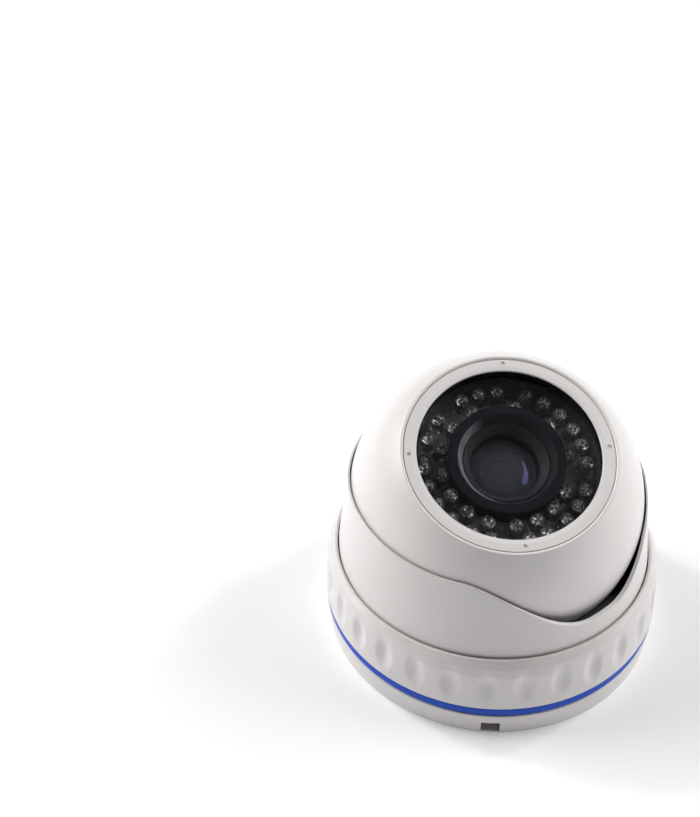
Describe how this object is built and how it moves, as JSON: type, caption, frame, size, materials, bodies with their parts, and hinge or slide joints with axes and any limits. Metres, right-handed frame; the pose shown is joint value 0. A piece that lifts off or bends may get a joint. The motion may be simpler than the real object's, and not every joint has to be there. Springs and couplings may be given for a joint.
{
  "type": "turret dome security camera",
  "caption": "Round surface-mount security camera: an aimable ball with a varifocal lens and infrared LEDs, held in a wavy shroud by a scalloped locking ring.",
  "frame": {"origin": "centre of the base's flat mounting face", "axes": "+Z out of the mounting surface, towards the ball; -Y towards the middle of the shroud's low arch"},
  "size_m": [0.1216, 0.1216, 0.1022],
  "materials": {
    "white_paint": "warm white semi-gloss powder paint on die-cast aluminium",
    "blue_trim": "deep blue moulded plastic",
    "black_rubber": "matte black rubber",
    "black_plastic": "black moulded plastic",
    "face_glass": "flat clear toughened glass",
    "lens_glass": "coated optical glass",
    "led_epoxy": "water-clear epoxy LED bodies",
    "led_board_black": "black solder mask",
    "board_green": "green solder mask",
    "chip_black": "moulded chip package",
    "steel": "zinc-plated steel",
    "plated_metal": "nickel-plated metal",
    "connector_nylon": "natural nylon",
    "lead_red": "red insulation"
  },
  "bodies": {
    "base": {"base_cup": "white_paint", "trim_band": "blue_trim", "base_seal": "black_rubber", "bearing_washer": "black_plastic"},
    "ring": {"lock_ring": "white_paint", "ring_seal": "black_rubber"},
    "turret": {"turret_shroud": "white_paint", "seat_retainer": "steel"},
    "seat": {"seat_ring": "black_plastic"},
    "gland": {"cable_gland": "black_rubber", "gland_nut": "black_plastic"},
    "ball": {"front_shell": "white_paint", "rear_shell": "white_paint", "bezel_ring": "white_paint", "shell_gasket": "black_rubber", "glass_gasket": "black_rubber", "lens_hood": "black_rubber", "lens_mount": "black_plastic", "lens_barrel": "black_plastic", "board_spacer_1": "black_plastic", "board_spacer_2": "black_plastic", "board_spacer_3": "black_plastic", "board_spacer_4": "black_plastic", "front_glass": "face_glass", "ir_leds": "led_epoxy", "led_board": "led_board_black", "main_board": "board_green", "image_processor": "chip_black", "image_sensor": "chip_black", "light_sensor": "chip_black", "camera_bracket": "steel", "led_post_1": "steel", "led_post_2": "steel", "led_post_3": "steel", "led_board_screw_1": "steel", "led_board_screw_2": "steel", "led_board_screw_3": "steel", "bracket_screw_1": "steel", "bracket_screw_2": "steel", "bracket_screw_3": "steel", "filter_actuator": "plated_metal", "main_connector": "connector_nylon", "led_connector": "connector_nylon", "led_lead": "lead_red"},
    "focus_grip": {"focus_ring": "black_plastic", "focus_thumb_screw": "plated_metal"},
    "focus_lens": {"focus_cell": "black_plastic", "front_element": "lens_glass"},
    "zoom_grip": {"zoom_ring": "black_plastic", "zoom_thumb_screw": "plated_metal"},
    "zoom_lens": {"zoom_cell": "black_plastic", "rear_element": "lens_glass"},
    "filter": {"filter_carriage": "black_plastic", "infrared_cut_filter": "lens_glass", "clear_filter": "lens_glass"}
  },
  "joints": [
    {"name": "ring_twist", "type": "hinge", "parent": "base", "child": "ring", "pos_m": [0, 0, 0.024], "axis": [0, 0, 1], "range_deg": [0, 30]},
    {"name": "turret_pan", "type": "hinge", "parent": "base", "child": "turret", "pos_m": [0, 0, 0.03], "axis": [0, 0, 1], "range_deg": [-180, 180]},
    {"name": "seat_swivel", "type": "hinge", "parent": "turret", "child": "seat", "pos_m": [0, 0, 0.033], "axis": [0, 0, 1], "range_deg": [-16, 74]},
    {"name": "ball_tilt", "type": "hinge", "parent": "seat", "child": "gland", "pos_m": [0, 0, 0.0543], "axis": [0.8763, -0.4818, 0], "range_deg": [-22.6, 52.4]},
    {"name": "ball_roll", "type": "hinge", "parent": "gland", "child": "ball", "pos_m": [0, 0, 0.0543], "axis": [-0.1851, -0.3368, 0.9232], "range_deg": [-180, 180]},
    {"name": "focus_turn", "type": "hinge", "parent": "ball", "child": "focus_grip", "pos_m": [0, 0, 0.0543], "axis": [-0.1851, -0.3368, 0.9232], "range_deg": [-45, 45]},
    {"name": "focus_travel", "type": "slide", "parent": "ball", "child": "focus_lens", "axis": [-0.1851, -0.3368, 0.9232], "range_m": [-0.0006, 0.0006]},
    {"name": "zoom_turn", "type": "hinge", "parent": "ball", "child": "zoom_grip", "pos_m": [0, 0, 0.0543], "axis": [-0.1851, -0.3368, 0.9232], "range_deg": [-50, 50]},
    {"name": "zoom_travel", "type": "slide", "parent": "ball", "child": "zoom_lens", "axis": [-0.1851, -0.3368, 0.9232], "range_m": [-0.0007, 0.0007]},
    {"name": "filter_shift", "type": "slide", "parent": "ball", "child": "filter", "axis": [0.8763, -0.4818, 0], "range_m": [-0.0065, 0]}
  ],
  "couplings": [
    {"joint": "focus_turn", "follows": "focus_travel", "rad_per_m": 1309},
    {"joint": "zoom_turn", "follows": "zoom_travel", "rad_per_m": 1246.7}
  ]
}
